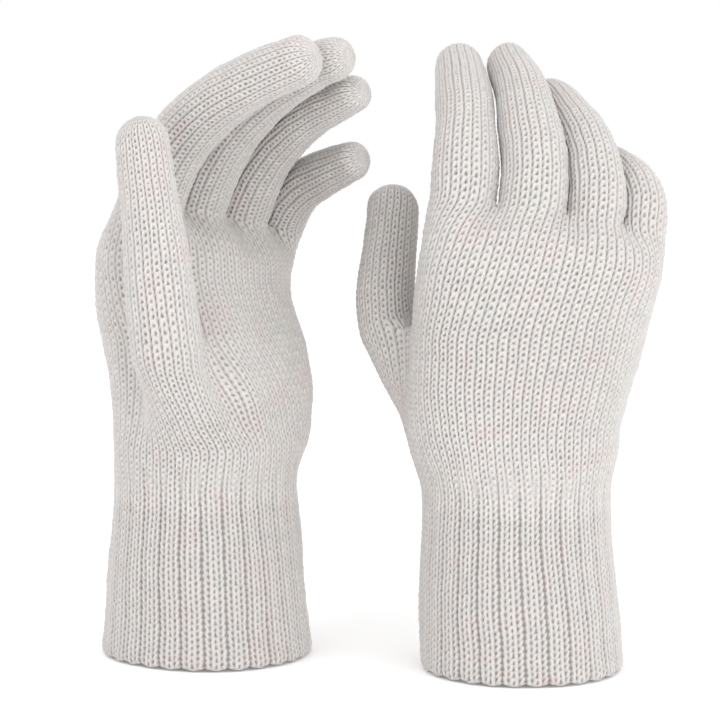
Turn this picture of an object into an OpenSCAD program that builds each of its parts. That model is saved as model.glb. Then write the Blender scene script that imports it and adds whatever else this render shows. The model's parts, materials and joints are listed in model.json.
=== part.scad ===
// A pair of knitted gloves standing on their ribbed cuffs, fingers a little curled.
// One glove is described in its own frame: origin at the middle of the cuff's lower rim, +Z towards
// the fingertips, back of the hand towards -Y, palm towards +Y and thumb towards -X. That is the
// right-hand glove; the left-hand glove is its mirror image, turned to show its palm and thumb.
// Every piece is a hollow shell of knitted fabric.

/* [Fabric] */
// Thickness of the knitted fabric
fabric_t = 2.4; // [1.8:0.2:3]
// Space between two pieces that turn against each other
joint_gap = 0.3; // [0.2:0.1:0.6]

/* [Cuff] */
// Height of the ribbed tube, up to where the wrist folds
cuff_h = 71; // [60:1:72]
// Height of the firm cast-on edge
edge_h = 4; // [2:1:8]
// Width across the cast-on edge
cuff_w = 79; // [74:1:84]
// Depth from back to palm at the cast-on edge
cuff_d = 86; // [76:1:88]
// Width of the rib at the wrist
wrist_w = 72; // [68:1:76]
// Depth of the rib at the wrist
wrist_d = 68; // [64:1:72]
// Length of soft fabric that folds at the wrist
wrist_fold = 20; // [18:1:22]

/* [Hand] */
// Width of the hand across the palm
hand_w = 90; // [86:1:94]
// Depth of the hand from back to palm at the ball of the thumb
hand_d = 68; // [62:1:72]
// How far the ball of the thumb swells out of the palm
ball_out = 8; // [6:1:9]
// Height of the web between the fingers, at its middle
web_z = 173; // [168:1:178]
// Tilt of the web down towards the little finger
web_drop = 8; // [4:1:12]
// Tilt of the web towards the palm
web_lean = 12; // [6:1:18]

/* [Fingers] */
// Bend of the fingers at their roots that the fabric allows
root_flex = 50; // [30:5:55]
// Bend of the fingers at their middle joints that the fabric allows
mid_flex = 60; // [30:5:60]
// Scale of the fingers' thickness
finger_scale = 1; // [0.9:0.02:1]

/* [Pair] */
// Distance of each glove's cuff from the middle of the pair
pair_half = 62; // [62:1:120]
// Turn of the left-hand glove about the vertical
left_turn = -128; // [-150:1:-90]
// Turn of the right-hand glove about the vertical
right_turn = 0; // [-10:1:10]

/* [Hidden] */
WOOL = [0.84, 0.82, 0.80];
RIB = [0.80, 0.78, 0.76];
EDGE = [0.86, 0.84, 0.82];
FOLD = [0.77, 0.75, 0.73];

hand_sides = 40;
tube_sides = 16;
// Squareness of the sections: 2 is an ellipse, more is boxier
hand_square = 2.5;
cuff_square = 2.1;

// Where the two gloves stand, so that the pair's box is centred on the origin
right_at = [pair_half - 6.25, -17.8, 0];
left_at = [-pair_half - 6.25, 9.2, 0];

wrist_z = cuff_h + wrist_fold / 2;
hand_z = cuff_h + wrist_fold;

// Height, shift to the little-finger side, shift to the palm, half width and half depth of the hand
web_at = [8.8, -3, web_z];
hand_profile = [
    [hand_z, -3, 7, 0.45 * hand_w, 0.465 * hand_d],
    [hand_z + 14, -1.5, 6, 0.478 * hand_w, 0.46 * hand_d],
    [hand_z + 30, 1, 0, 0.489 * hand_w, 0.435 * hand_d],
    [hand_z + 46, 3, -7.5, 0.494 * hand_w, 0.405 * hand_d],
    [hand_z + 62, 5.5, -10, 0.506 * hand_w, 0.395 * hand_d],
    [web_z, web_at[0], web_at[1], 0.517 * hand_w, 0.338 * hand_d]
];
// Heights of the hand's rings; the thumb's hole is four rows high, from row 1
hand_rows = [0.4, 7, 15, 23, 31, 39, 51, 65];
thumb_row = 1;
thumb_col = 15;
hole_cells = 4;

// The plane of the web: across the hand, towards the palm, and up out of it
web_u = [cos(web_drop), 0, -sin(web_drop)];
web_v = [-sin(web_lean) * sin(web_drop), cos(web_lean), -sin(web_lean) * cos(web_drop)];
web_n = cross(web_u, web_v);

// Each finger: place on the web (across, towards the palm), half width and half depth at its root,
// radius at its tip, middle of its tip, and the direction in which its tip points
FINGERS = [
    ["index", [-33, -3.2], [12, 12.4], 9.2, [-22.6, 67, 232], [0.02, 0.96, 0.28]],
    ["middle", [-6.5, -4.6], [12.2, 12.8], 8.3, [-3, 68, 233], [-0.06, 0.97, 0.22]],
    ["ring", [17.6, -2], [10.6, 12], 7.2, [14.3, 63, 220], [-0.17, 0.96, 0.22]],
    ["little", [36.6, 3.4], [9, 10.4], 7.4, [35.4, 46, 194], [-0.2, 0.95, 0.25]]
];
// The thumb's tip on the two gloves, which are posed apart: middle of the tip, its direction, and
// the direction in which the thumb leaves the hand
thumb_root_at = [-39, 19, 110.5];
thumb_root_r = [11.8, 12.4];
thumb_tip_r = 10;
RIGHT_THUMB = [[-49.5, 46, 175], [0.06, 0.5, 0.86], [-0.8, 0.35, 0.5]];
LEFT_THUMB = [[-53, 17, 202], [-0.05, -0.15, 0.985], [-0.66, 0.46, 0.6]];

SIDES = ["left", "right"];
HAND_PARTS = ["cuff_edge", "cuff", "wrist_bend", "hand", "finger_web"];
DIGITS = ["thumb", "index", "middle", "ring", "little"];
DIGIT_PARTS = ["root", "lower", "bend", "upper"];

// Small vector helpers
function unit(v) = v / norm(v);
function mix(a, b, w) = a + (b - a) * w;
function ease(w) = let (c = min(1, max(0, w))) c * c * (3 - 2 * c);
function spow(c, n) = sign(c) * pow(abs(c), 2 / n);

// A closed ring of points round a centre, in the plane of u and v
function ring(at, u, v, a, b, square, sides, turn = 0) = [
    for (k = [0:sides - 1])
        let (t = turn + 360 * k / sides)
        at + u * a * spow(cos(t), square) + v * b * spow(sin(t), square)
];

// The value in one column of the hand's profile at a height
function hand_at(z, column) = lookup(z, [for (row = hand_profile) [row[0], row[column]]]);

// One ring of the hand: level at the wrist, in the web's plane at the top
function hand_ring(z, inset, lift = 0) =
    let (w = ease((z - hand_z - 39) / (web_z - hand_z - 39)))
    let (u = unit(mix([1, 0, 0], web_u, w)))
    let (v = unit(mix([0, 1, 0], web_v, w)))
    let (points = ring([hand_at(z, 1), hand_at(z, 2), z] + lift * web_n, u, v,
        hand_at(z, 3) - inset, hand_at(z, 4) - inset, hand_square, hand_sides))
    [for (k = [0:hand_sides - 1]) points[k] + ball_at(z, 360 * k / hand_sides)];
// The swelling of the ball of the thumb at a height and a place round the hand
function ball_at(z, t) =
    let (rise = ease((z - hand_z + 4) / 24) * ease((web_z - 6 - z) / 34))
    ball_out * rise * pow(max(0, cos(t - 122)), 5) * [cos(122), sin(122), 0];
function hand_rings(inset) = concat(
    [for (h = hand_rows) hand_ring(hand_z + h, inset)],
    [hand_ring(web_z, inset, -fabric_t)]
);

// One ring of the cuff at a height, from the flared edge to the narrow wrist
function cuff_ring(z, inset) =
    let (w = pow(min(1, z / cuff_h), 0.85))
    ring([-2.5 * w, 2.5 * w, z], [1, 0, 0], [0, 1, 0],
        mix(cuff_w, wrist_w, w) / 2 - inset, mix(cuff_d, wrist_d, w) / 2 - inset,
        cuff_square, hand_sides);

// Corner numbers round the edge of the thumb's hole, anticlockwise seen from outside
function hole_loop() = concat(
    [for (j = [0:hole_cells - 1]) [thumb_row, thumb_col + j]],
    [for (j = [0:hole_cells - 1]) [thumb_row + j, thumb_col + hole_cells]],
    [for (j = [0:hole_cells - 1]) [thumb_row + hole_cells, thumb_col + hole_cells - j]],
    [for (j = [0:hole_cells - 1]) [thumb_row + hole_cells - j, thumb_col]]
);
function in_hole(i, k) =
    i >= thumb_row && i < thumb_row + hole_cells && k >= thumb_col && k < thumb_col + hole_cells;

// The two triangles of a four-sided face
function split(q) = [[q[0], q[1], q[2]], [q[0], q[2], q[3]]];

// Faces of a hollow tube whose outer rings come before its inner rings
function wall_faces(rows, sides, start, inward, hole) = [
    for (i = [0:rows - 2]) for (k = [0:sides - 1])
        if (!hole || !in_hole(i, k))
            let (a = start + i * sides, b = start + (i + 1) * sides, next = (k + 1) % sides)
            each split(inward
                ? [a + k, a + next, b + next, b + k]
                : [a + k, b + k, b + next, a + next])
];
function rim_faces(outer, inner, sides, upward) = [
    for (k = [0:sides - 1])
        let (next = (k + 1) % sides)
        each split(upward
            ? [outer + k, inner + k, inner + next, outer + next]
            : [outer + k, outer + next, inner + next, inner + k])
];
function hole_faces(rows, sides) = [
    let (loop = hole_loop(), last = len(loop))
    for (j = [0:last - 1])
        let (p = loop[j][0] * sides + loop[j][1])
        let (q = loop[(j + 1) % last][0] * sides + loop[(j + 1) % last][1])
        let (deep = rows * sides)
        each split([p, p + deep, q + deep, q])
];

// A hollow tube from its outer and inner rings, open at both ends, closed at the tip, or with the
// thumb's hole in its side
module shell(outer, inner, closed = false, hole = false) {
    rows = len(outer);
    sides = len(outer[0]);
    deep = rows * sides;
    last = deep - sides;
    tip = closed
        ? [[for (k = [sides - 1:-1:0]) last + k], [for (k = [0:sides - 1]) deep + last + k]]
        : rim_faces(last, deep + last, sides, true);
    polyhedron(
        points = concat([for (r = outer) each r], [for (r = inner) each r]),
        faces = concat(
            wall_faces(rows, sides, 0, false, hole),
            wall_faces(rows, sides, deep, true, hole),
            rim_faces(0, deep, sides, false),
            tip,
            hole ? hole_faces(rows, sides) : []
        ),
        convexity = 6
    );
}

// The middle line of a finger or thumb, a smooth curve from its root to its tip
function reach(d) = norm(d[4] - d[0]) / 2.8;
function path_at(d, t) =
    let (p1 = d[0] + d[1] * reach(d), p2 = d[4] - d[5] * reach(d), s = 1 - t)
    s * s * s * d[0] + 3 * s * s * t * p1 + 3 * s * t * t * p2 + t * t * t * d[4];
function path_dir(d, t) =
    let (p1 = d[0] + d[1] * reach(d), p2 = d[4] - d[5] * reach(d), s = 1 - t)
    unit(s * s * (p1 - d[0]) + 2 * s * t * (p2 - p1) + t * t * (d[4] - p2));
function path_length(d) =
    let (steps = 24)
    let (pts = [for (i = [0:steps]) path_at(d, i / steps)])
    [for (i = 0, sum = 0; i <= steps; sum = sum + (i < steps ? norm(pts[i + 1] - pts[i]) : 0), i = i + 1)
        sum][steps];

// A digit as [root, direction at root, half width and depth at root, tip radius, tip, tip direction]
function finger_data(i) =
    let (f = FINGERS[i])
    [web_at + web_u * f[1][0] + web_v * f[1][1], web_n, f[2] * finger_scale, f[3] * finger_scale,
        f[4], unit(f[5])];
function thumb_data(side) =
    let (t = side == "left" ? LEFT_THUMB : RIGHT_THUMB)
    [thumb_root_at, unit(t[2]), thumb_root_r, thumb_tip_r, t[0], unit(t[1])];
function digit_data(side, i) = i == 0 ? thumb_data(side) : finger_data(i - 1);

// The level axis that a digit bends about, so that a positive turn bends it towards the palm
function bend_axis(d) =
    let (flat = [d[4][0] - d[0][0], d[4][1] - d[0][1], 0])
    unit(cross([0, 0, 1], unit(flat)));
// Half width and half depth of a digit along its length
function digit_half(d, t) = mix(d[2], [d[3], d[3]], pow(t, 1.6));

// Ends of the soft fabric that folds, as fractions of the digit's length: root fold, then middle fold
function root_end(d) = (2 * d[2][1] * tan(root_flex / 2) + 4) / path_length(d);
function mid_half(d) = (digit_half(d, 0.5)[1] * tan(mid_flex / 2) + 2) / path_length(d);
function mid_at(d) = 0.35 + root_end(d) * 0.6;
function gap(d) = joint_gap / path_length(d);

function digit_ring(d, t, inset, turn = 0) =
    let (dir = path_dir(d, t), half = digit_half(d, t))
    let (u = -unit(bend_axis(d) - dir * (bend_axis(d) * dir)))
    ring(path_at(d, t), u, cross(dir, u), half[0] - inset, half[1] - inset, 2, tube_sides, turn);
function digit_rings(d, from, to, rows, inset, turn = 0) =
    [for (i = [0:rows - 1]) digit_ring(d, mix(from, to, i / (rows - 1)), inset, turn)];
// The rounded tip beyond the end of the middle line
function tip_rings(d, inset, turn = 0) = [
    let (axis = bend_axis(d), u = -unit(axis - d[5] * (axis * d[5])), r = d[3] - inset)
    for (a = [30, 55, 76])
        ring(d[4] + d[5] * r * sin(a), u, cross(d[5], u), r * cos(a), r * cos(a), 2, tube_sides, turn)
];

// Pieces of the cuff and hand
module cuff_edge() {
    rows = [0, edge_h];
    color(EDGE) shell([for (z = rows) cuff_ring(z, 0)], [for (z = rows) cuff_ring(z, fabric_t)]);
}
module cuff() {
    rows = [for (i = [0:5]) mix(edge_h, cuff_h, i / 5)];
    color(RIB) shell([for (z = rows) cuff_ring(z, 0)], [for (z = rows) cuff_ring(z, fabric_t)]);
}
module wrist_bend() {
    steps = 3;
    function bend_ring(i, inset) =
        let (low = cuff_ring(cuff_h, inset), high = hand_ring(hand_z, inset), w = i / steps)
        [for (k = [0:hand_sides - 1]) mix(low[k], high[k], w)];
    color(FOLD) shell([for (i = [0:steps]) bend_ring(i, 0)],
        [for (i = [0:steps]) bend_ring(i, fabric_t)]);
}
module hand() {
    color(WOOL) shell(hand_rings(0), hand_rings(fabric_t), hole = true);
}
module finger_web() {
    outline = [for (p = hand_ring(web_z, 0)) [(p - web_at) * web_u, (p - web_at) * web_v]];
    color(WOOL)
        multmatrix([
            [web_u[0], web_v[0], web_n[0], web_at[0]],
            [web_u[1], web_v[1], web_n[1], web_at[1]],
            [web_u[2], web_v[2], web_n[2], web_at[2]],
            [0, 0, 0, 1]
        ])
        translate([0, 0, -fabric_t])
        linear_extrude(fabric_t)
        difference() {
            polygon(outline);
            for (f = FINGERS)
                polygon(ring(f[1], [1, 0], [0, 1], f[2][0] * finger_scale - fabric_t,
                    f[2][1] * finger_scale - fabric_t, 2, tube_sides));
        }
}

// The soft fabric at a digit's root. The thumb's starts at the edge of its hole in the hand.
module digit_root(side, i) {
    d = digit_data(side, i);
    end = root_end(d);
    rows = 4;
    corner = -135;
    function hole_ring(inset) =
        let (rings = hand_rings(inset))
        [for (c = hole_loop()) rings[c[0]][c[1]]];
    function thumb_rings(inset) =
        let (edge = hole_ring(inset))
        [for (r = [0:rows - 1])
            let (w = r / (rows - 1), round_ring = thumb_ring(d, end * w, inset))
            [for (k = [0:tube_sides - 1]) mix(edge[k], round_ring[k], ease(w))]];
    color(FOLD)
        if (i == 0) shell(thumb_rings(0), thumb_rings(fabric_t));
        else shell(digit_rings(d, 0, end, rows, 0), digit_rings(d, 0, end, rows, fabric_t));
}
// A ring of the thumb whose points follow the corners of the thumb's hole
function thumb_ring(d, t, inset) =
    let (dir = path_dir(d, t), half = digit_half(d, t))
    let (v = unit([0, 0, 1] - dir * dir[2]), u = cross(v, dir))
    ring(path_at(d, t), u, v, half[0] - inset, half[1] - inset, 2, tube_sides, -135);

module digit_lower(side, i) {
    d = digit_data(side, i);
    from = root_end(d) + gap(d);
    to = mid_at(d) - mid_half(d);
    color(WOOL) shell(digit_rings(d, from, to, 4, 0), digit_rings(d, from, to, 4, fabric_t));
}
module digit_bend(side, i) {
    d = digit_data(side, i);
    from = mid_at(d) - mid_half(d);
    to = mid_at(d) + mid_half(d);
    color(FOLD) shell(digit_rings(d, from, to, 4, 0), digit_rings(d, from, to, 4, fabric_t));
}
module digit_upper(side, i) {
    d = digit_data(side, i);
    from = mid_at(d) + mid_half(d) + gap(d);
    color(WOOL)
        shell(concat(digit_rings(d, from, 1, 5, 0), tip_rings(d, 0)),
            concat(digit_rings(d, from, 1, 5, fabric_t), tip_rings(d, fabric_t)), closed = true);
}

// Stands a glove in its place in the pair
module placed(side) {
    if (side == "left") translate(left_at) rotate(left_turn) mirror([1, 0, 0]) children();
    else translate(right_at) rotate(right_turn) children();
}
module hand_part(side, name) {
    placed(side) {
        if (name == "cuff_edge") cuff_edge();
        if (name == "cuff") cuff();
        if (name == "wrist_bend") wrist_bend();
        if (name == "hand") hand();
        if (name == "finger_web") finger_web();
    }
}
module digit_part(side, i, name) {
    placed(side) {
        if (name == "root") digit_root(side, i);
        if (name == "lower") digit_lower(side, i);
        if (name == "bend") digit_bend(side, i);
        if (name == "upper") digit_upper(side, i);
    }
}

for (s = SIDES) {
    for (p = HAND_PARTS) hand_part(s, p);
    for (i = [0:4]) for (p = DIGIT_PARTS)
        digit_part(s, i, p);
}
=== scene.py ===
"""A pair of pale wool gloves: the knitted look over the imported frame.

Each glove is worked out in its own frame in millimetres, as the CAD part is: origin at the middle
of the cuff's lower rim, +Z to the fingertips, back to -Y, palm to +Y, thumb to -X. The grid has one
vertex per wale (column of stitches) and per course (row of stitches); it is smoothed, then refined,
and the stitches are raised on it as real relief.
"""
import json
import math

import bpy
import numpy as np
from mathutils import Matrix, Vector


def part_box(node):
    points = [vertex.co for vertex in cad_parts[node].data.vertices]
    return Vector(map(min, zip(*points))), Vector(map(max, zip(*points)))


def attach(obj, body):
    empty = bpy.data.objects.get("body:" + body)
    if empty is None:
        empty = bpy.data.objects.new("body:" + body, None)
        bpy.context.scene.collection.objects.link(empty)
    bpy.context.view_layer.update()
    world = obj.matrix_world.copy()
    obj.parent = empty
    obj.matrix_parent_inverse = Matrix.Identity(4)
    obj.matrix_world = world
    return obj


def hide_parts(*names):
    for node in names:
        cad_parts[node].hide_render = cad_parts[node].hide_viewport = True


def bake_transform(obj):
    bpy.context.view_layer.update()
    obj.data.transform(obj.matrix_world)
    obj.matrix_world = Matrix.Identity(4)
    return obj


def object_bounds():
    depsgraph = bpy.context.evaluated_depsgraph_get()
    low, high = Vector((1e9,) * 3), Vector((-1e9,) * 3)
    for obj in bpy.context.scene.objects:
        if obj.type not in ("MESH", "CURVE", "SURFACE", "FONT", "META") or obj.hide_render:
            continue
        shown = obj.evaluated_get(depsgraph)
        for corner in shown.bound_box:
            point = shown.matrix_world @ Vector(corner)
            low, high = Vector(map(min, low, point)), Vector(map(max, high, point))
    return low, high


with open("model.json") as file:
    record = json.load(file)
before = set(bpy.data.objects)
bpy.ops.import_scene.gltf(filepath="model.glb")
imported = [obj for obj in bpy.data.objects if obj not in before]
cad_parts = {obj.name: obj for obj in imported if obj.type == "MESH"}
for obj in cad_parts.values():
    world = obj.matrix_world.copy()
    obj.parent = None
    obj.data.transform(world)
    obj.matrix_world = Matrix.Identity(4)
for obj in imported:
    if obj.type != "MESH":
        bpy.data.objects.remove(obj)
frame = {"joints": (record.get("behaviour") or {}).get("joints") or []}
CAD_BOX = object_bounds()

# The CAD part's shape, in millimetres
CUFF_H, HAND_Z, WEB_Z = 71.0, 91.0, 173.0
CUFF_SIZE, WRIST_SIZE = np.array([79.0, 86.0]) / 2, np.array([72.0, 68.0]) / 2
CUFF_SQUARE, HAND_SQUARE = 2.1, 2.5
# How fast the cuff narrows, and how far its top shifts to the thumb side and to the palm
CUFF_TAPER, WRIST_SHIFT = 0.85, 2.5
# The wrist's soft fold blends the cuff into the hand from this far below the cuff's top
FOLD_BELOW = 4
WEB_AT = np.array([8.8, -3.0, WEB_Z])
WEB_DROP, WEB_LEAN = math.radians(8), math.radians(12)
# The height from which the hand's rings lean over into the plane of the web
LEAN_FROM_Z = HAND_Z + 39
# Height, shift across, shift to the palm, half width, half depth
HAND_PROFILE = np.array([
    [91, -3.0, 7.0, 40.5, 31.6],
    [105, -1.5, 6.0, 43.0, 31.3],
    [121, 1.0, 0.0, 44.0, 29.6],
    [137, 3.0, -7.5, 44.5, 27.5],
    [153, 5.5, -10.0, 45.5, 26.9],
    [173, 8.8, -3.0, 46.5, 23.0],
])
# Place on the web, half width and depth at the root, tip radius, middle of the tip, its direction.
# The knit is a little fuller than the CAD part's fingers, so that neighbours touch at their roots.
FINGERS = {
    "index": ([-33, -3.2], [12.4, 12.6], 9.3, [-22.6, 67, 232], [0.02, 0.96, 0.28]),
    "middle": ([-6.5, -4.6], [13.0, 12.9], 8.3, [-3, 68, 233], [-0.06, 0.97, 0.22]),
    "ring": ([17.6, -2], [11.5, 12.2], 7.2, [14.3, 63, 220], [-0.17, 0.96, 0.22]),
    "little": ([36.6, 3.4], [9.4, 10.6], 7.3, [35.4, 46, 194], [-0.2, 0.95, 0.25]),
}
THUMB_ROOT = [-39, 19, 110.5]
# Middle of the tip, its direction, the direction in which the thumb leaves the hand, half width and
# depth at the root, tip radius, and how late it tapers
THUMBS = {
    "right": ([-49.5, 46, 175], [0.06, 0.5, 0.86], [-0.8, 0.35, 0.5], [12.0, 12.6], 10, 1.6),
    "left": ([-53, 17, 202], [-0.05, -0.15, 0.985], [-0.66, 0.46, 0.6], [16.8, 14.8], 9.6, 1.1),
}
# The ball of the thumb: how far it swells out of the palm, where on the way round, between which
# heights, and over what height it rises and fades
BALL_OUT, BALL_AT = 8.0, math.radians(122)
BALL_FROM_Z, BALL_TO_Z, BALL_RISE, BALL_FADE = HAND_Z - 4, WEB_Z - 6, 24, 34
# How late the fingers taper, and a digit's straight reach over the length of its curve's handles
TAPER, HANDLE_PART = 1.6, 2.8
# The zones at a digit's root and middle are sized for bends of these angles, with this much fabric to
# spare
ROOT_FLEX, MID_FLEX = math.radians(50), math.radians(60)
ROOT_SPARE, MID_SPARE = 4, 2
# A closed tip is a dome of courses, and the last of them lies this many degrees up
TIP_DOME = 84

# The knit: width of a wale, height of a course, columns and rows of the relief for each stitch
WALE, COURSE = 3.6, 2.45
PER_WALE, PER_COURSE = 7, 4
# Wales round the cuff, round the thumb's gusset, and across the web behind the thumb
CUFF_WALES, THUMB_WALES, THUMB_WEB = 72, 16, 6
THUMB_WEB_WIDTH = 22.2
HAND_WALES = CUFF_WALES - THUMB_WALES + THUMB_WEB
# The cuff's first wale of the gusset, and the heights where the gusset starts and the thumb leaves
THUMB_FIRST, GUSSET_Z, SPLIT_Z = 57, 85, 127.0
# The hand's top courses: those that go over into the outline of the fingers, and those whose wales
# run straight up
FINGER_ROWS, STRAIGHT_ROWS = 7, 4
# The first wale and the number of wales of the hand that each finger takes, one span for each side
# between its webs, and the wales that each web adds to it
WEB_WALES = 2
FINGER_SPANS = {
    "index": [(54, 18)],
    "middle": [(46, 8), (10, 8)],
    "ring": [(39, 7), (18, 7)],
    "little": [(25, 14)],
}
FINGER_WALES = {name: sum(count + WEB_WALES for _, count in spans)
                for name, spans in FINGER_SPANS.items()}
# Columns of relief in one rib: all but the last are two knit wales, and the last is purl
RIB_COLUMNS = 18
RIB_KNIT = RIB_COLUMNS - 1
# Height of the stitches and of the ribs, and how far a stitch leans across its course
STITCH_H, RIB_H, SLANT = 1.3, 0.42, 0.05
# A stitch's two legs: place of the foot, spread towards the top, half width and its swelling
LEG_FOOT, LEG_SPREAD, LEG_HALF, LEG_SWELL = 0.155, 0.19, 0.2, 0.06
# The height at which the ribs start to go over into plain knit, and over what height they do
RIB_TOP_Z, RIB_FADE = 60, 26
# The fabric's wander: length of its waves and how far it goes, in millimetres
WANDER = ((55, 0.25), (34, 0.17), (21, 0.10), (13, 0.07), (8, 0.05))
# How deep the cast-on edge's scallops are, and how far inside the cuff its lining lies
SCALLOP, LINING = 1.1, 2.3

# The cuff's piece ends at this height and the hand's begins; the wrist's zone spans these heights, along
# an upright line at this place
CUFF_CUT_Z = 60.0
WRIST_ZONE, WRIST_AT = (66.0, 98.0), (-2.7, 2.9)
# The thumb's middle joint's zone starts at least this far along it from the hand, its two pieces meet
# just before that, and its root's zone spans this length below them
THUMB_CLEAR, THUMB_FOLD = 10, 20


def unit(v):
    v = np.asarray(v, float)
    return v / np.linalg.norm(v, axis=-1, keepdims=True)


def mix(a, b, w):
    return a + (b - a) * w


def ease(w):
    c = np.clip(w, 0, 1)
    return c * c * (3 - 2 * c)


WEB_U = np.array([math.cos(WEB_DROP), 0, -math.sin(WEB_DROP)])
WEB_V = np.array([
    -math.sin(WEB_LEAN) * math.sin(WEB_DROP),
    math.cos(WEB_LEAN),
    -math.sin(WEB_LEAN) * math.cos(WEB_DROP),
])
WEB_N = np.cross(WEB_U, WEB_V)


def outline(square, a, b):
    """A dense superellipse from its -u side, anticlockwise, and the share of its length at each point."""
    t = np.linspace(math.pi, 3 * math.pi, 1441)
    c, s = np.cos(t), np.sin(t)
    x = a * np.sign(c) * np.abs(c) ** (2 / square)
    y = b * np.sign(s) * np.abs(s) ** (2 / square)
    step = np.hypot(np.diff(x), np.diff(y))
    length = np.concatenate([[0], np.cumsum(step)])
    return x, y, length / length[-1]


def outline_at(square, a, b, share):
    x, y, s = outline(square, a, b)
    share = np.mod(share, 1)
    return np.interp(share, s, x), np.interp(share, s, y)


def profile_at(z, column):
    """The hand's profile at a height, a little smoothed."""
    near = z + np.array([-5, -2.5, 0, 2.5, 5])
    return np.mean(np.interp(near, HAND_PROFILE[:, 0], HAND_PROFILE[:, column]))


def hand_ring(z, share):
    """Points of the hand's surface at a height, at shares of the way round from the thumb side."""
    w = ease((z - LEAN_FROM_Z) / (WEB_Z - LEAN_FROM_Z))
    u, v = unit(mix(np.array([1, 0, 0]), WEB_U, w)), unit(mix(np.array([0, 1, 0]), WEB_V, w))
    centre = np.array([profile_at(z, 1), profile_at(z, 2), z])
    a, b = profile_at(z, 3), profile_at(z, 4)
    x, y = outline_at(HAND_SQUARE, a, b, share)
    around = np.arctan2(y / b, x / a)
    rise = BALL_OUT * ease((z - BALL_FROM_Z) / BALL_RISE) * ease((BALL_TO_Z - z) / BALL_FADE)
    ball = rise * np.clip(np.cos(around - BALL_AT), 0, 1) ** 5
    swell = ball[:, None] * np.array([math.cos(BALL_AT), math.sin(BALL_AT), 0])
    return centre + x[:, None] * u + y[:, None] * v + swell


def cuff_ring(z, share):
    """The cuff's surface at a height: it narrows upwards, and shifts as it does."""
    w = min(1, max(0, z) / CUFF_H) ** CUFF_TAPER
    a, b = mix(CUFF_SIZE, WRIST_SIZE, w)
    x, y = outline_at(CUFF_SQUARE, a, b, share)
    return np.stack([x - WRIST_SHIFT * w, y + WRIST_SHIFT * w, np.full(len(x), z)], 1)


def body_ring(z, share):
    """The cuff's, wrist's or hand's surface at a height."""
    fold_z = CUFF_H - FOLD_BELOW
    if z <= fold_z:
        return cuff_ring(z, share)
    if z >= HAND_Z:
        return hand_ring(z, share)
    w = ease((z - fold_z) / (HAND_Z - fold_z))
    ring = mix(cuff_ring(fold_z, share), hand_ring(HAND_Z, share), w)
    ring[:, 2] = z
    return ring


class Digit:
    """A finger's or thumb's middle line, thickness and cross-sections."""

    def __init__(self, side, name):
        self.name = name
        if name == "thumb":
            tip, way, out, half, tip_r, self.taper = THUMBS[side]
            self.root, self.out = np.array(THUMB_ROOT, float), unit(out)
            self.half, self.tip_r = np.array(half, float), tip_r
        else:
            place, half, tip_r, tip, way = FINGERS[name]
            self.root, self.out = WEB_AT + WEB_U * place[0] + WEB_V * place[1], WEB_N
            self.half, self.tip_r, self.taper = np.array(half, float), tip_r, TAPER
        self.tip, self.tip_dir = np.array(tip, float), unit(way)
        reach = np.linalg.norm(self.tip - self.root) / HANDLE_PART
        self.control = [
            self.root, self.root + self.out * reach, self.tip - self.tip_dir * reach, self.tip,
        ]
        t = np.linspace(0, 1, 241)
        line = np.array([self.at(x) for x in t])
        step = np.linalg.norm(np.diff(line, axis=0), axis=1)
        self.travel, self.t = np.concatenate([[0], np.cumsum(step)]), t
        self.length = self.travel[-1]
        self.root_end = (2 * self.half[1] * math.tan(ROOT_FLEX / 2) + ROOT_SPARE) / self.length
        mid_at = 0.35 + 0.6 * self.root_end
        thick = mix(self.half, self.tip_r, 0.5 ** TAPER)[1]
        mid_half = (thick * math.tan(MID_FLEX / 2) + MID_SPARE) / self.length
        self.bend_from, self.bend_to = mid_at - mid_half, mid_at + mid_half

    def travel_at(self, t):
        """How far along the middle line a fraction lies, in millimetres."""
        return np.interp(t, self.t, self.travel)

    def fraction_at(self, travel):
        return np.interp(travel, self.travel, self.t)

    def at(self, t):
        p, s = self.control, 1 - t
        return s ** 3 * p[0] + 3 * s * s * t * p[1] + 3 * s * t * t * p[2] + t ** 3 * p[3]

    def direction(self, t):
        p, s = self.control, 1 - t
        return unit(s * s * (p[1] - p[0]) + 2 * s * t * (p[2] - p[1]) + t * t * (p[3] - p[2]))

    def frames(self, ts, first_u):
        """Directions across the middle line that don't twist along it."""
        u, made = first_u, []
        for t in ts:
            d = self.direction(t)
            u = unit(u - d * np.dot(u, d))
            made.append((u, np.cross(d, u)))
        return made

    def rings(self, start, wales, first_angle, first_u):
        """Rings one course apart from the fraction start to the tip, then round its end."""
        travel = self.travel_at(start)
        count = int(round((self.length - travel) / COURSE))
        ts = self.fraction_at(np.linspace(travel, self.length, count + 1))
        angle = np.radians(first_angle + 360 * np.arange(wales) / wales)
        across = self.frames(ts, first_u)
        rows = []
        for t, (u, v) in zip(ts, across):
            a, b = mix(self.half, self.tip_r, t ** self.taper)
            rows.append(self.at(t) + a * np.cos(angle)[:, None] * u + b * np.sin(angle)[:, None] * v)
        u, v = across[-1]
        caps = int(round(self.tip_r * 1.5 / COURSE))
        for i in range(1, caps + 1):
            bend = math.radians(TIP_DOME * i / caps)
            r, rise = self.tip_r * math.cos(bend), self.tip_r * math.sin(bend)
            around = np.cos(angle)[:, None] * u + np.sin(angle)[:, None] * v
            rows.append(self.tip + self.tip_dir * rise + r * around)
        return np.array(rows)


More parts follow.
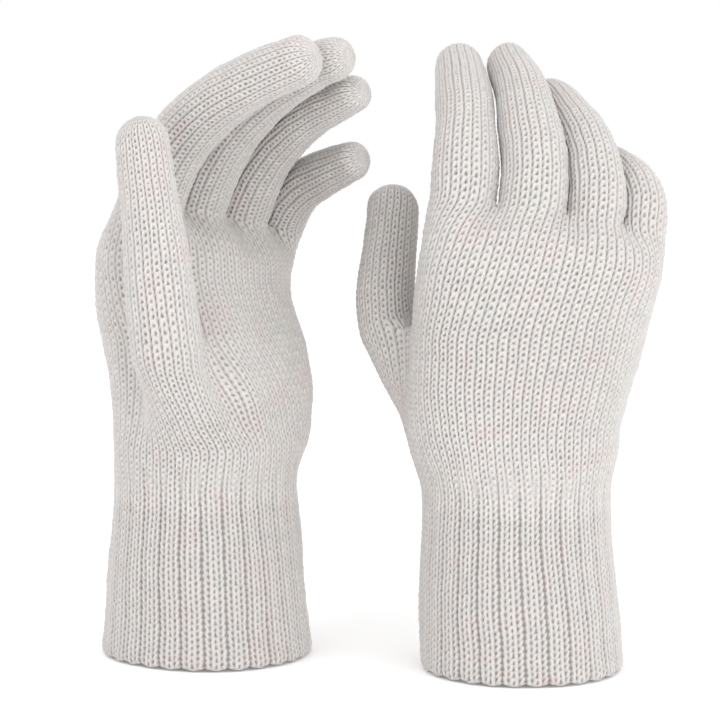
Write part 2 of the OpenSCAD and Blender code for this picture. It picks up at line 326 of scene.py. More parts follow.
def thumb_split(side):
    """Where the thumb leaves the hand: its fraction, ring frame, and the shares of the hand's ring."""
    digit = Digit(side, "thumb")
    ts = np.linspace(0, 1, 401)
    heights = np.array([digit.at(t)[2] for t in ts])
    t = ts[np.argmin(np.abs(heights - SPLIT_Z))]
    centre, way = digit.at(t), digit.direction(t)
    share = np.linspace(0, 1, 721)[:-1]
    ring = hand_ring(SPLIT_Z, share)
    near = share[np.argmin(np.linalg.norm(ring - centre, axis=1))]
    near = near - 1 if near > 0.5 else near
    length = np.linalg.norm(np.roll(ring, -1, 0) - ring, axis=1).sum()
    half_web = THUMB_WEB_WIDTH / 2 / length
    web = hand_ring(SPLIT_Z, np.array([near]))[0]
    first_u = unit((web - centre) - way * np.dot(web - centre, way))
    return digit, t, first_u, near - half_web, near + half_web


class Glove:
    """The grid of one glove: vertices shared by the sections, and each section's rows of them."""

    def __init__(self, side):
        self.side = side
        self.points = []
        self.sections = {}
        self.build_cuff()
        self.build_hand()
        self.build_digits()
        self.points = np.array(self.points)
        self.smooth()

    def add(self, rows):
        first = len(self.points)
        rows = np.asarray(rows, float)
        self.points.extend(rows.reshape(-1, 3))
        return first + np.arange(rows.size // 3).reshape(rows.shape[:-1])

    def build_cuff(self):
        """From the cast-on edge to the thumb's split, swelling out over the thumb's gusset."""
        digit, t, first_u, low, high = thumb_split(self.side)
        self.thumb = digit, t
        wale = 180 * THUMB_WEB / (THUMB_WALES + THUMB_WEB)
        self.thumb_rings = digit.rings(t, THUMB_WALES + THUMB_WEB, wale, first_u)
        lobe = self.thumb_rings[0]
        columns = np.arange(CUFF_WALES)
        even = columns / CUFF_WALES
        even = np.where(columns >= THUMB_FIRST, even - 1, even)
        past = (columns - (THUMB_FIRST - CUFF_WALES)) % CUFF_WALES
        is_thumb = past < THUMB_WALES
        hand_share = high + (1 + low - high) * (past - THUMB_WALES) / (CUFF_WALES - THUMB_WALES)
        ends = low + (high - low) * past / THUMB_WALES
        goal = np.where(is_thumb, ends, hand_share)
        goal = np.where(~is_thumb & (goal > even + 0.5), goal - 1, goal)
        self.web_share = low, high
        self.cuff_z = np.linspace(1.0, SPLIT_Z, int(round(SPLIT_Z / COURSE)) + 1)
        start = np.where(even > goal + 0.5, even - 1, even)
        start = np.where(start < goal - 0.5, start + 1, start)
        edge = (past == 0) | (past == THUMB_WALES)
        rows = []
        for z in self.cuff_z:
            w = min(1, max(0, (z - GUSSET_Z) / (SPLIT_Z - GUSSET_Z)))
            ring = body_ring(z, mix(start, goal, w))
            swell = lobe[np.minimum(past, THUMB_WALES)] + [0, 0, z - SPLIT_Z]
            pull = np.where(is_thumb, w, 0) * np.where(edge, 0.5, 1)
            pull = np.where(past == THUMB_WALES, 0.5 * w, pull)
            rows.append(mix(ring, swell, pull[:, None]))
        self.sections["cuff"] = self.add(rows)

    def build_hand(self):
        """From the thumb's split to the fingers' roots."""
        low, high = self.web_share
        top = self.finger_roots()
        j = np.arange(HAND_WALES)
        body = CUFF_WALES - THUMB_WALES
        start = high + (1 + low - high) * j / body
        start = np.where(j > body, 1 + low + (high - low) * (j - body) / THUMB_WEB, start)
        goal = (j - 1) / HAND_WALES
        count = int(round((WEB_Z - SPLIT_Z) / COURSE))
        rows = []
        for r in range(1, count):
            z = mix(SPLIT_Z, WEB_Z, r / count)
            ring = hand_ring(z, mix(start, goal, ease(r / (count - STRAIGHT_ROWS))))
            w = max(0, (r - (count - FINGER_ROWS)) / FINGER_ROWS) ** 2
            lowered = top - WEB_N * (count - r) * COURSE
            rows.append(mix(ring, lowered, w))
        cuff_top = self.sections["cuff"][-1]
        shared = cuff_top[(THUMB_FIRST - CUFF_WALES + THUMB_WALES + np.arange(body + 1)) % CUFF_WALES]
        inner = hand_ring(SPLIT_Z, start[body + 1:])
        lobe = self.thumb_rings[0]
        far = THUMB_WALES + THUMB_WEB - np.arange(1, THUMB_WEB)
        self.web = self.add(mix(inner, lobe[far], 0.5) + [0, 0, 1.5])
        first = np.concatenate([shared, self.web])
        middle = self.add(rows)
        last = self.add(top)
        self.sections["hand"] = np.vstack([first[None], middle, last[None]])

    def finger_columns(self, name):
        """The hand's columns that a finger takes, in the finger's own order, and -1 on its webs."""
        made = []
        for first, count in FINGER_SPANS[name]:
            made += [(first + k) % HAND_WALES for k in range(count + 1)]
            made += [-1] * (WEB_WALES - 1)
        return made

    def finger_roots(self):
        """The hand's top row: the outline of the four fingers' first rings, joined at the webs."""
        self.digits, self.rings = {}, {}
        for name, wales in FINGER_WALES.items():
            digit = Digit(self.side, name)
            first = 180 * WEB_WALES / wales
            if name == "little":
                first += 180
            self.digits[name] = digit
            self.rings[name] = digit.rings(0, wales, first, WEB_U)
        total = np.zeros((HAND_WALES, 3))
        hits = np.zeros(HAND_WALES)
        for name in FINGER_WALES:
            for k, column in enumerate(self.finger_columns(name)):
                if column >= 0:
                    total[column] += self.rings[name][0][k]
                    hits[column] += 1
        return total / hits[:, None]

    def build_digits(self):
        """The thumb from its split and the fingers from their webs."""
        cuff_top, hand = self.sections["cuff"][-1], self.sections["hand"]
        first = cuff_top[(THUMB_FIRST + np.arange(THUMB_WALES + 1)) % CUFF_WALES]
        first = np.concatenate([first, self.web[::-1]])
        rows = self.thumb_rings[1:]
        self.sections["thumb"] = np.vstack([first[None], self.add(rows)])
        order = list(FINGER_WALES)
        webs = {name: [] for name in order}
        for near, far in zip(order, order[1:]):
            mine = [k for k, column in enumerate(self.finger_columns(near)) if column < 0][-1]
            theirs = self.finger_columns(far).index(-1)
            across = mix(self.rings[near][0][mine], self.rings[far][0][theirs], 0.5)
            vertex = self.add([across + WEB_N * 0.8])[0]
            webs[near].append(vertex)
            webs[far].append(vertex)
        for name in order:
            free = iter(webs[name])
            row = [hand[-1][c] if c >= 0 else next(free) for c in self.finger_columns(name)]
            self.sections[name] = np.vstack([np.array(row)[None], self.add(self.rings[name][1:])])

    def ghosts(self, name):
        """The rows that a section's surface runs on to below its first row and above its last."""
        rows = self.sections[name]
        cuff, hand, thumb = (self.sections[n] for n in ("cuff", "hand", "thumb"))
        body = CUFF_WALES - THUMB_WALES
        below = above = None
        if name == "cuff":
            k = (np.arange(CUFF_WALES) - (THUMB_FIRST - CUFF_WALES)) % CUFF_WALES
            above = np.where(k < THUMB_WALES, thumb[1][np.minimum(k, THUMB_WALES)],
                             hand[1][np.clip(k - THUMB_WALES, 0, body)])
        elif name == "hand":
            back = (THUMB_FIRST + THUMB_WALES + np.arange(body + 1)) % CUFF_WALES
            far = THUMB_WALES + THUMB_WEB - np.arange(1, THUMB_WEB)
            below = np.concatenate([cuff[-2][back], thumb[1][far]])
            above = rows[-1].copy()
            for finger in FINGER_WALES:
                for k, column in enumerate(self.finger_columns(finger)):
                    if column >= 0:
                        above[column] = self.sections[finger][1][k]
        elif name == "thumb":
            back = (THUMB_FIRST + np.arange(THUMB_WALES + 1)) % CUFF_WALES
            web = hand[1][body + 1:][::-1]
            below = np.concatenate([cuff[-2][back], web])
        else:
            below = rows[0].copy()
            for k, column in enumerate(self.finger_columns(name)):
                if column >= 0:
                    below[k] = hand[-2][column]
                else:
                    below[k] = self.across_web(name, k)
        return below, above

    def across_web(self, name, k):
        """The vertex just over the web from a finger's web column, on its neighbour."""
        here = self.sections[name][0][k]
        for other in FINGER_WALES:
            found = np.where(self.sections[other][0] == here)[0]
            if other != name and len(found):
                return self.sections[other][1][found[0]]
        return here

    def smooth(self):
        """Evens the grid near the splits without shrinking it."""
        count = len(self.points)
        pairs = []
        strength = np.zeros(count)
        for name, rows in self.sections.items():
            pairs.append(np.stack([rows.ravel(), np.roll(rows, -1, 1).ravel()], 1))
            pairs.append(np.stack([rows[:-1].ravel(), rows[1:].ravel()], 1))
            if name == "cuff":
                reach = ease((self.cuff_z - 58) / 12)
            elif name == "hand":
                reach = np.ones(len(rows))
            else:
                reach = ease(1 - np.arange(len(rows)) / 9)
            strength[rows.ravel()] = np.maximum(strength[rows.ravel()], np.repeat(reach, rows.shape[1]))
        pairs = np.unique(np.sort(np.vstack(pairs), axis=1), axis=0)
        degree = np.bincount(pairs.ravel(), minlength=count)
        for step in range(28):
            total = np.zeros_like(self.points)
            np.add.at(total, pairs[:, 0], self.points[pairs[:, 1]])
            np.add.at(total, pairs[:, 1], self.points[pairs[:, 0]])
            move = total / degree[:, None] - self.points
            self.points += move * (strength * (0.5 if step % 2 == 0 else -0.52))[:, None]

    def wobble(self, rng):
        """Lets the knitted grid wander a little, as hand-finished fabric does."""
        shift = np.zeros_like(self.points)
        for size, reach in WANDER:
            for _ in range(4):
                wave = unit(rng.normal(size=3)) * 2 * math.pi / size
                phase = rng.uniform(0, 2 * math.pi)
                push = unit(rng.normal(size=3)) * reach
                shift += np.sin(self.points @ wave + phase)[:, None] * push
        shift[:, 2] *= ease(self.points[:, 2] / 15)
        self.points += shift


def row_weights(count):
    """Weights and slopes that run a smooth curve through rows, PER_COURSE steps apart each."""
    steps = (count - 1) * PER_COURSE
    place = np.arange(steps + 1) / PER_COURSE
    return curve_weights(place, count + 2, 1)


def curve_weights(place, size, shift, ring=False):
    """How much of each of size points a smooth curve has at each place, and how fast that changes."""
    cell = np.floor(place).astype(int)
    if not ring:
        cell = np.minimum(cell, size - 3 - shift)
    t = place - cell
    value = np.stack([
        -0.5 * t + t ** 2 - 0.5 * t ** 3,
        1 - 2.5 * t ** 2 + 1.5 * t ** 3,
        0.5 * t + 2 * t ** 2 - 1.5 * t ** 3,
        -0.5 * t ** 2 + 0.5 * t ** 3,
    ], 1)
    slope = np.stack([
        -0.5 + 2 * t - 1.5 * t ** 2,
        -5 * t + 4.5 * t ** 2,
        0.5 + 4 * t - 4.5 * t ** 2,
        -t + 1.5 * t ** 2,
    ], 1)
    w, d = np.zeros((len(place), size)), np.zeros((len(place), size))
    rows = np.arange(len(place))
    for k in range(4):
        column = cell + shift + k - 1
        column = column % size if ring else column
        np.add.at(w, (rows, column), value[:, k])
        np.add.at(d, (rows, column), slope[:, k])
    return w, d


def refined(glove, name):
    """A section's fine grid: points, outward normals, and millimetres per wale."""
    rows = glove.sections[name]
    below, above = glove.ghosts(name)
    grid = glove.points[rows]
    low = glove.points[below] if below is not None else 2 * grid[0] - grid[1]
    centre = grid[-1].mean(0)
    high = glove.points[above] if above is not None else centre - (grid[-1] - centre) * 0.6
    grid = np.concatenate([low[None], grid, high[None]])
    wr, dr = row_weights(len(rows))
    n = rows.shape[1]
    wc, dc = curve_weights(np.arange(n * PER_WALE) / PER_WALE, n, 0, ring=True)
    point = np.einsum("ri,ijk,cj->rck", wr, grid, wc, optimize=True)
    across = np.einsum("ri,ijk,cj->rck", wr, grid, dc, optimize=True)
    along = np.einsum("ri,ijk,cj->rck", dr, grid, wc, optimize=True)
    normal = np.cross(across, along)
    normal /= np.maximum(np.linalg.norm(normal, axis=2, keepdims=True), 1e-9)
    return point, normal, np.linalg.norm(across, axis=2)


def stitches(u, v, slack):
    """Height from 0 to 1 of plain knit: each stitch is a V of two legs, its foot under the next.

    A wale starts at each whole u and a course at each whole v; slack, from -1 to 1, is how loosely
    each stitch is knitted.
    """
    cell_v = np.floor(v).astype(int)
    height = np.zeros(u.shape)
    for step in (-1, 0, 1):
        row = cell_v + step
        t = v - row
        leaning = u - SLANT * (t - 0.5)
        cell_u = np.floor(leaning).astype(int)
        side = np.abs(leaning - cell_u - 0.5)
        loose = slack[row % slack.shape[0], cell_u % slack.shape[1]]
        centre = LEG_FOOT + LEG_SPREAD * t + 0.025 * loose
        half = LEG_HALF + LEG_SWELL * np.abs(t - 0.55)
        body = np.sqrt(np.clip(1 - ((side - centre) / half) ** 2, 0, 1))
        ends = ease((t + 0.2) / 0.32) * ease((1.3 - t) / 0.34)
        rise = 0.78 + 0.22 * np.sin(np.clip(t, 0, 1.3) * math.pi / 1.3)
        height = np.maximum(height, body * ends * rise * (1 + 0.10 * loose))
    return height


def rib_relief(u, v, slack):
    """Raised ribs of two wales with a narrow groove of purl between them; and each one's own height."""
    column = u * PER_WALE
    p = np.mod(column, RIB_COLUMNS)
    half = RIB_KNIT / 2
    wale = np.floor(column / RIB_COLUMNS) * 2 + np.floor(p / half)
    a = np.mod(p, half) / half
    stitch = stitches(wale + np.where(p < RIB_KNIT, a, 0), v, slack)
    arch = np.sin(math.pi * np.clip(p + 0.5, 0, RIB_COLUMNS) / RIB_COLUMNS)
    ridge = np.clip(arch, 0, 1) ** 0.3
    return np.where(p < RIB_KNIT, stitch, 0.15), np.where(p < RIB_KNIT, ridge, 0.2)


def knit_relief(rows, columns, first_row, spacing, slack, z=None):
    """Displacement in millimetres and how deep in the fabric each vertex lies, from 0 to 1; the materials
    paint shade into the grooves by this depth.

    With heights z the relief is ribbed at the cuff and goes over to plain knit at the wrist.
    """
    v, u = np.meshgrid(first_row + np.arange(rows) / PER_COURSE,
                       (np.arange(columns) + 0.5) / PER_WALE, indexing="ij")
    plain = stitches(u, v, slack)
    scale = np.clip(spacing / WALE, 0.1, 1.1)
    shift = (plain - 0.75) * STITCH_H * scale
    deep = 1 - plain
    if z is not None:
        stitch, ridge = rib_relief(u, v, slack)
        rib = (stitch - 0.75) * STITCH_H * 0.85 + (ridge - 0.85) * RIB_H
        w = ease((z - RIB_TOP_Z) / RIB_FADE)
        shift = mix(rib, shift, w)
        deep = mix(1 - stitch * (0.8 + 0.2 * ridge), deep, w)
    return shift, deep


def surface(glove, name, slack):
    """A section's displaced fine grid, with what the materials need at each vertex."""
    point, normal, spacing = refined(glove, name)
    z = point[:, :, 2] if name == "cuff" else None
    first = len(glove.sections["cuff"]) - 1 if name == "hand" else 0
    shift, deep = knit_relief(*point.shape[:2], first, spacing, slack, z)
    return point + normal * shift[:, :, None], deep, normal


def share_edges(glove, parts):
    """Makes the first rows of the hand and digits the very vertices they grow from."""
    cuff, hand = parts["cuff"], parts["hand"]
    body = (CUFF_WALES - THUMB_WALES) * PER_WALE
    begin = (THUMB_FIRST - CUFF_WALES + THUMB_WALES) * PER_WALE
    around = (begin + np.arange(body + 1)) % (CUFF_WALES * PER_WALE)
    copy_row(hand, np.arange(body + 1), cuff, around)
    gusset = THUMB_WALES * PER_WALE
    around = (THUMB_FIRST * PER_WALE + np.arange(gusset + 1)) % (CUFF_WALES * PER_WALE)
    copy_row(parts["thumb"], np.arange(gusset + 1), cuff, around)
    web = THUMB_WEB * PER_WALE
    mine = body + np.arange(1, web)
    theirs = gusset + web - np.arange(1, web)
    join_rows(hand, mine, parts["thumb"], theirs)
    for name in FINGER_WALES:
        columns = glove.finger_columns(name)
        size = len(columns)
        for k, column in enumerate(columns):
            after = columns[(k + 1) % size]
            if column >= 0 and after >= 0:
                here = k * PER_WALE + np.arange(PER_WALE + 1)
                there = column * PER_WALE + np.arange(PER_WALE + 1)
                copy_row(parts[name], here % (size * PER_WALE), hand,
                         there % (HAND_WALES * PER_WALE))
    join_webs(glove, parts)


def copy_row(to, columns, source, from_columns):
    """Puts the top row of one surface into the first row of another, both points and depths."""
    to[0][0, columns] = source[0][-1, from_columns]
    to[1][0, columns] = source[1][-1, from_columns]


def join_rows(a, mine, b, theirs):
    """Makes two first rows meet halfway."""
    for layer in (0, 1):
        value = (a[layer][0, mine] + b[layer][0, theirs]) / 2
        a[layer][0, mine] = value
        b[layer][0, theirs] = value


def join_webs(glove, parts):
    """Fingers side by side meet along their web, each running the other way."""
    order = list(FINGER_WALES)
    for near, far in zip(order, order[1:]):
        row_a, row_b = glove.sections[near][0], glove.sections[far][0]
        both = [k for k, p in enumerate(row_a) if p in set(row_b)]
        size = len(row_a)
        middle = [k for k in both if row_a[(k + 1) % size] in row_b and row_a[k - 1] in row_b][0]
        other = int(np.where(row_b == row_a[middle])[0][0])
        steps = np.arange(-PER_WALE + 1, PER_WALE)
        mine = (middle * PER_WALE + steps) % (size * PER_WALE)
        theirs = (other * PER_WALE - steps) % (len(row_b) * PER_WALE)
        join_rows(parts[near], mine, parts[far], theirs)


class Placing:
    """Stands a glove where the frame has it."""

    def __init__(self, side):
        self.mirrored = side == "left"
        wrist = next(j for j in frame["joints"] if j["name"] == f"{side}_wrist")
        axis = wrist["axis"]
        self.turn = math.atan2(-axis[1], -axis[0])
        low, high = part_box(f"{side}_cuff_edge")
        self.at = np.array([(low[0] + high[0]) / 2, (low[1] + high[1]) / 2, 0.0])

    def __call__(self, points):
        p = np.array(points, float) / 1000
        if self.mirrored:
            p[..., 0] = -p[..., 0]
        c, s = math.cos(self.turn), math.sin(self.turn)
        x, y = p[..., 0] * c - p[..., 1] * s, p[..., 0] * s + p[..., 1] * c
        return np.stack([x, y, p[..., 2]], -1) + self.at


def ring_faces(rows, columns, first=0):
    """Four-sided faces of a tube, outward where rows run up and columns anticlockwise."""
    i, j = np.meshgrid(np.arange(rows - 1), np.arange(columns), indexing="ij")
    a, b = i * columns + j, i * columns + (j + 1) % columns
    return (np.stack([a, b, b + columns, a + columns], -1) + first).reshape(-1, 4)


def make_piece(name, placing, points, deep, faces, material, caps=()):
    """A mesh from vertices, four-sided faces and triangles, with the materials' attributes."""
    verts = placing(points)
    quads = np.asarray(faces, np.int32)
    tris = np.asarray(caps, np.int32).reshape(-1, 3)
    if placing.mirrored:
        quads, tris = quads[:, ::-1], tris[:, ::-1]
    mesh = bpy.data.meshes.new(name)
    mesh.vertices.add(len(verts))
    mesh.vertices.foreach_set("co", verts.astype(np.float32).ravel())
    loops = np.concatenate([quads.ravel(), tris.ravel()])
    mesh.loops.add(len(loops))
    mesh.loops.foreach_set("vertex_index", loops)
    sizes = np.concatenate([np.full(len(quads), 4), np.full(len(tris), 3)])
    mesh.polygons.add(len(sizes))
    starts = np.concatenate([[0], np.cumsum(sizes)[:-1]])
    mesh.polygons.foreach_set("loop_start", starts.astype(np.int32))
    mesh.update(calc_edges=True)
    mesh.validate()
    mesh.polygons.foreach_set("use_smooth", np.ones(len(mesh.polygons), bool))
    rest = mesh.attributes.new("rest", "FLOAT_VECTOR", "POINT")
    rest.data.foreach_set("vector", verts.astype(np.float32).ravel())
    # The depth in the fabric, by which the material paints shade into the grooves
    depth = mesh.attributes.new("deep", "FLOAT", "POINT")
    depth.data.foreach_set("value", np.asarray(deep, np.float32).ravel())
    mesh.materials.append(material)
    piece = bpy.data.objects.new(name, mesh)
    bpy.context.scene.collection.objects.link(piece)
    return piece


# Materials


def attribute(tree, name, output):
    node = tree.nodes.new("ShaderNodeAttribute")
    node.attribute_name = name
    return node.outputs[output]


def noise(tree, where, scale, detail):
    node = tree.nodes.new("ShaderNodeTexNoise")
    node.inputs["Scale"].default_value = scale
    node.inputs["Detail"].default_value = detail
    node.inputs["Roughness"].default_value = 0.6
    tree.links.new(where, node.inputs["Vector"])
    return node.outputs["Fac"]


def ramp(tree, value, stops):
    node = tree.nodes.new("ShaderNodeValToRGB")
    while len(node.color_ramp.elements) < len(stops):
        node.color_ramp.elements.new(0.5)
    for element, (place, colour) in zip(node.color_ramp.elements, stops):
        element.position = place
        element.color = (*colour, 1)
    tree.links.new(value, node.inputs["Fac"])
    return node.outputs["Color"]


def blend_colour(tree, a, b, share, how="MIX"):
    node = tree.nodes.new("ShaderNodeMix")
    node.data_type = "RGBA"
    node.blend_type = how
    for socket, value in (("A", a), ("B", b)):
        target = [i for i in node.inputs if i.name == socket and i.type == "RGBA"][0]
        if isinstance(value, tuple):
            target.default_value = (*value, 1)
        else:
            tree.links.new(value, target)
    factor = [i for i in node.inputs if i.name == "Factor" and i.type == "VALUE"][0]
    if isinstance(share, float):
        factor.default_value = share
    else:
        tree.links.new(share, factor)
    return [o for o in node.outputs if o.type == "RGBA"][0]


# Heather patches: place on the noise, and colour
TINTS = [
    (0.32, (0.720, 0.637, 0.626)),
    (0.44, (0.730, 0.695, 0.670)),
    (0.52, (0.652, 0.657, 0.660)),
    (0.60, (0.745, 0.710, 0.676)),
    (0.70, (0.647, 0.670, 0.645)),
]
# Colour of the wool and of the painted shade in its grooves, on the plain knit and on the ribs
PLAIN_WOOL, PLAIN_SHADE = (0.725, 0.688, 0.664), (0.305, 0.275, 0.257)
# The ribs' wool is the plain knit's wool painted a tenth darker, as painted shade over the cuff and its
# edge
SHADED_RIB_WOOL, RIB_SHADE = (0.655, 0.621, 0.599), (0.30, 0.270, 0.253)


def wool(name, base, dark):
    """Heather wool: soft patches of tint, fine fibres of light and dark, and shade in its grooves."""
    material = bpy.data.materials.new(name)
    material.use_nodes = True
    tree = material.node_tree
    shader = tree.nodes["Principled BSDF"]
    place = attribute(tree, "rest", "Vector")
    deep = attribute(tree, "deep", "Fac")
    patches = ramp(tree, noise(tree, place, 70, 2), TINTS)
    colour = blend_colour(tree, base, patches, 0.55)
    fibre = ramp(tree, noise(tree, place, 1500, 3), [(0.30, (0.80,) * 3), (0.72, (1.0,) * 3)])
    colour = blend_colour(tree, colour, fibre, 0.8, "MULTIPLY")
    # Painted shade: the deeper a vertex lies in the fabric, the more of the groove shade colour it takes
    fade = ramp(tree, deep, [(0.20, (0, 0, 0)), (0.95, (1, 1, 1))])
    colour = blend_colour(tree, colour, dark, fade)
    tree.links.new(colour, shader.inputs["Base Color"])
    shader.inputs["Roughness"].default_value = 0.95
    shader.inputs["Specular IOR Level"].default_value = 0.15
    shader.inputs["Sheen Weight"].default_value = 0.25
    shader.inputs["Sheen Roughness"].default_value = 0.6
    bump = tree.nodes.new("ShaderNodeBump")
    bump.inputs["Strength"].default_value = 0.5
    bump.inputs["Distance"].default_value = 0.0005
    tree.links.new(noise(tree, place, 2200, 4), bump.inputs["Height"])
    tree.links.new(bump.outputs["Normal"], shader.inputs["Normal"])
    return material


MATERIALS = {
    "plain_knit": wool("plain_knit", PLAIN_WOOL, PLAIN_SHADE),
    "rib_knit": wool("rib_knit", SHADED_RIB_WOOL, RIB_SHADE),
    "cast_on_edge": wool("cast_on_edge", SHADED_RIB_WOOL, RIB_SHADE),
}


# Pieces


def rim_rise(columns):
    """How far the cast-on edge rises at each column: it is scalloped, one scallop to a rib."""
    p = np.mod(np.arange(columns) + 0.5, RIB_COLUMNS)
    arch = np.sin(math.pi * np.clip(p, 0, RIB_KNIT) / RIB_KNIT)
    return SCALLOP * (1 - np.clip(arch, 0, 1) ** 0.7)


def shape_rim(point, normal):
    """Scallops the lowest courses of the cuff, and tucks their edge in."""
    rows = np.arange(point.shape[0])
    fade = ease(1 - rows / (2.5 * PER_COURSE))[:, None]
    point[:, :, 2] += rim_rise(point.shape[1])[None] * fade
    tuck = 0.5 * ease(1 - rows / PER_COURSE)[:, None, None]
    point -= normal * tuck
    return point


def cuff_pieces(side, placing, point, deep, normal, cut):
    """The ribbed cuff with its lining, and its scalloped cast-on edge."""
    edge_rows = 2 * PER_COURSE + 1
    columns = point.shape[1]
    inward = -normal[0] * [1, 1, 0]
    lip = [point[0] + inward * 2.0 + [0, 0, 0.6], point[0] + inward * 1.0 - [0, 0, 0.7]]
    lip[1][:, 2] = np.maximum(lip[1][:, 2], 0.05)
    edge = np.concatenate([np.array(lip), point[:edge_rows]])
    # The lip takes a little of the first row's painted groove shade
    shade = np.concatenate([deep[:2] * 0.3, deep[:edge_rows]])
    made = make_piece(f"{side}_cast_on_edge", placing, edge.reshape(-1, 3), shade,
                      ring_faces(len(edge), columns), MATERIALS["cast_on_edge"])
    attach(made, f"{side}_cuff")
    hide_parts(f"{side}_cuff_edge")
    body = point[edge_rows - 1:cut + 1]
    lining = (point - normal * LINING)[0:cut + 1:PER_COURSE, ::3][::-1]
    lining[-1, :, 2] += 0.4
    faces = np.vstack([ring_faces(*body.shape[:2]),
                       ring_faces(*lining.shape[:2], first=body.shape[0] * columns)])
    points = np.vstack([body.reshape(-1, 3), lining.reshape(-1, 3)])
    # The lining inside the cuff takes an even painted shade
    shade = np.concatenate([deep[edge_rows - 1:cut + 1].ravel(),
                            np.full(lining.shape[0] * lining.shape[1], 0.35)])
    made = make_piece(f"{side}_ribbed_cuff", placing, points, shade, faces, MATERIALS["rib_knit"])
    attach(made, f"{side}_cuff")
    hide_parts(f"{side}_cuff")


def hand_piece(side, placing, cuff, hand, cut):
    """The wrist, heel, palm and back in one piece."""
    low, high = cuff[0][cut:], hand[0]
    faces = np.vstack([ring_faces(*low.shape[:2]),
                       ring_faces(*high.shape[:2], first=low.shape[0] * low.shape[1])])
    points = np.vstack([low.reshape(-1, 3), high.reshape(-1, 3)])
    shade = np.concatenate([cuff[1][cut:].ravel(), hand[1].ravel()])
    made = make_piece(f"{side}_hand_knit", placing, points, shade, faces, MATERIALS["plain_knit"])
    axis_at = placing([[*WRIST_AT, z] for z in WRIST_ZONE])
    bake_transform(made)
    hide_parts(f"{side}_wrist_bend", f"{side}_hand", f"{side}_finger_web")


def digit_pieces(side, placing, digit, start, point, deep):
    """A finger or thumb in two pieces, cut where it stays straight."""
    rows, columns = point.shape[:2]
    name = f"{side}_{digit.name}"
    travel, bend_from = digit.travel_at(start), digit.bend_from
    if digit.name == "thumb":
        bend_from = max(bend_from, digit.fraction_at(travel + THUMB_CLEAR))
        cut_at = digit.fraction_at(digit.travel_at(bend_from) - 1)
    else:
        cut_at = mix(digit.root_end, bend_from, 0.5)
    cut = int(round((digit.travel_at(cut_at) - travel) / COURSE * PER_COURSE))
    lower = make_piece(f"{name}_base_knit", placing, point[:cut + 1].reshape(-1, 3), deep[:cut + 1],
                       ring_faces(cut + 1, columns), MATERIALS["plain_knit"])
    if digit.name == "thumb":
        way = digit.direction(cut_at)
        end = point[cut].mean(0) - way * 0.8
        zone = past_ring(point[0], end - way * THUMB_FOLD, end)
    else:
        zone = digit.at(0), digit.at(digit.root_end)
    start_at, end_at = placing(zone[0]), placing(zone[1])
    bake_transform(lower)
    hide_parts(f"{name}_root", f"{name}_lower")
    upper_points = point[cut:].reshape(-1, 3)
    middle = point[-1].mean(0) + digit.tip_dir * 0.2
    last = (rows - cut - 1) * columns
    around = np.arange(columns)
    caps = np.stack([last + around, last + (around + 1) % columns,
                     np.full(columns, len(upper_points))], 1)
    # The tip's middle vertex takes a middling painted shade
    upper = make_piece(f"{name}_tip_knit", placing, np.vstack([upper_points, middle]),
                       np.append(deep[cut:].ravel(), 0.5), ring_faces(rows - cut, columns),
                       MATERIALS["plain_knit"], caps)
    zone = past_ring(point[cut], digit.at(bend_from), digit.at(digit.bend_to))
    start_at, end_at = placing(zone[0]), placing(zone[1])
    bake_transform(upper)
    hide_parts(f"{name}_bend", f"{name}_upper")


def past_ring(ring, begin, end):
    """The part of a folding zone from begin to end that lies past every point of a ring."""
    way = unit(end - begin)
    ahead = max(0.0, float((ring @ way).max()) + 0.2 - float(begin @ way))
    return begin + way * ahead, end


def make_glove(side, seed):
    """One glove: its grid, how loose each stitch is, its surfaces and its pieces."""
    glove = Glove(side)
    rng = np.random.RandomState(seed)
    glove.wobble(rng)
    trunk = rng.uniform(-1, 1, (97, 101))
    parts = {}
    for name in glove.sections:
        loose = trunk if name in ("cuff", "hand") else rng.uniform(-1, 1, (97, 101))
        parts[name] = list(surface(glove, name, loose))
    point, _, normal = parts["cuff"]
    parts["cuff"][0] = shape_rim(point, normal)
    share_edges(glove, parts)
    placing = Placing(side)
    cut = int(round(CUFF_CUT_Z / SPLIT_Z * (len(glove.cuff_z) - 1))) * PER_COURSE
    cuff_pieces(side, placing, *parts["cuff"], cut)
    hand_piece(side, placing, parts["cuff"], parts["hand"], cut)
    digit_pieces(side, placing, *glove.thumb, *parts["thumb"][:2])
    for name in FINGER_WALES:
        digit_pieces(side, placing, glove.digits[name], 0.0, *parts[name][:2])


make_glove("left", 11)
make_glove("right", 29)


# Floor, light and camera

# The lights look at this height over the origin; the camera stands this far off, this much raised
LIGHT_AIM_Z = 0.12
CAMERA_FAR, CAMERA_RISE = 1.0, math.radians(5)


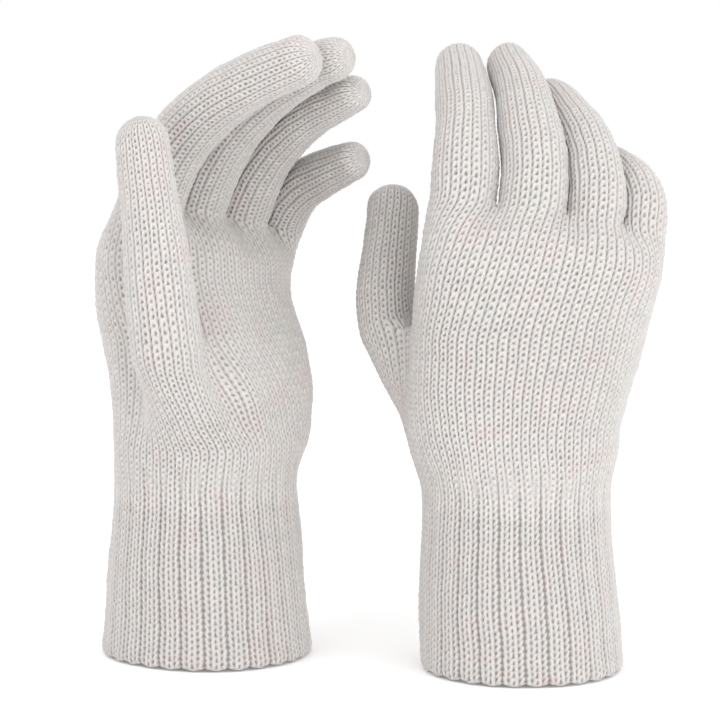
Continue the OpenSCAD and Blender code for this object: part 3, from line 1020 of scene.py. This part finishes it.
def make_floor():
    bpy.ops.mesh.primitive_plane_add(size=8, location=(0, 0, -0.0003))
    floor = bpy.context.object
    floor.name = "floor"
    material = bpy.data.materials.new("floor")
    material.use_nodes = True
    shader = material.node_tree.nodes["Principled BSDF"]
    shader.inputs["Base Color"].default_value = (0.95, 0.95, 0.95, 1)
    shader.inputs["Emission Color"].default_value = (1, 1, 1, 1)
    shader.inputs["Emission Strength"].default_value = 0.15
    shader.inputs["Roughness"].default_value = 1.0
    shader.inputs["Specular IOR Level"].default_value = 0.0
    floor.data.materials.append(material)


def make_light(name, at, size, power):
    data = bpy.data.lights.new(name, "AREA")
    data.size = size
    data.energy = power
    light = bpy.data.objects.new(name, data)
    light.location = at
    aim = Vector((0, 0, LIGHT_AIM_Z)) - Vector(at)
    light.rotation_mode = "QUATERNION"
    light.rotation_quaternion = aim.to_track_quat("-Z", "Y")
    bpy.context.scene.collection.objects.link(light)


def make_studio():
    world = bpy.data.worlds.new("studio")
    bpy.context.scene.world = world
    world.use_nodes = True
    background = world.node_tree.nodes["Background"]
    background.inputs["Color"].default_value = (1, 1, 1, 1)
    background.inputs["Strength"].default_value = 1.0
    make_light("key", (-0.7, -0.9, 1.7), 0.9, 5.4)
    make_light("fill", (0.6, -1.2, 0.45), 1.0, 6.4)


def make_camera():
    """From the front, a little above the middle of the pair."""
    low, high = CAD_BOX
    middle = np.array([(low[i] + high[i]) / 2 for i in range(3)])
    data = bpy.data.cameras.new("camera")
    camera = bpy.data.objects.new("camera", data)
    bpy.context.scene.collection.objects.link(camera)
    away = np.array([0, -math.cos(CAMERA_RISE), math.sin(CAMERA_RISE)])
    camera.location = middle + CAMERA_FAR * away
    camera.rotation_euler = (math.pi / 2 - CAMERA_RISE, 0, 0)
    data.sensor_width = 36
    data.lens = 128
    data.shift_x, data.shift_y = -0.0245, -0.0125
    data.dof.use_dof = False
    bpy.context.scene.camera = camera


make_floor()
make_studio()
make_camera()
bpy.context.scene.view_settings.view_transform = "Standard"
